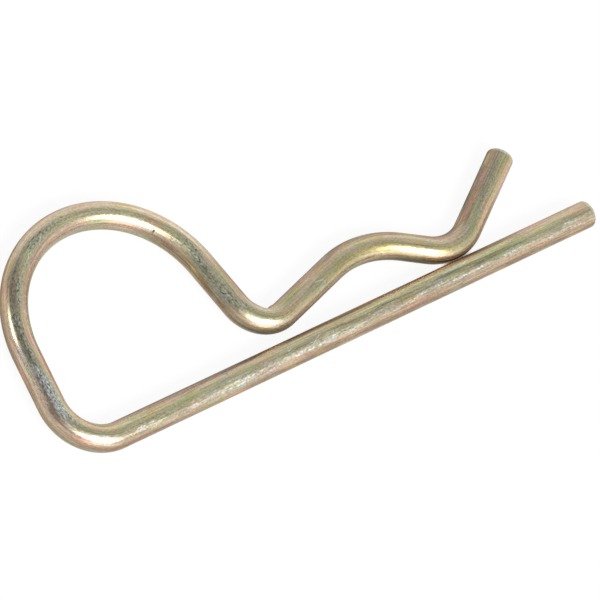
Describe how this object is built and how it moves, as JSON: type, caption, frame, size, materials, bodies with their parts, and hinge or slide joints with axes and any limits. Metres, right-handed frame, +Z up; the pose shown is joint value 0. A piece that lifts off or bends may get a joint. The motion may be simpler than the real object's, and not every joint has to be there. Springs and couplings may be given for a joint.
{
  "type": "hitch r clip pin",
  "caption": "Spring wire clip with a straight leg for a cross hole, a round bow and a wavy leg that snaps over the outside of a shaft.",
  "frame": {"origin": "middle of the clip's outline, on the surface that it lies on", "axes": "+X along the straight leg towards the free ends, +Y from the straight leg towards the bow, +Z up out of the clip's plane"},
  "size_m": [0.097, 0.0344, 0.004],
  "materials": {
    "yellow_zinc_steel": "yellow zinc passivation over drawn spring wire, satin, slightly iridescent"
  },
  "bodies": {
    "root": {"r_clip": "yellow_zinc_steel"}
  },
  "joints": []
}
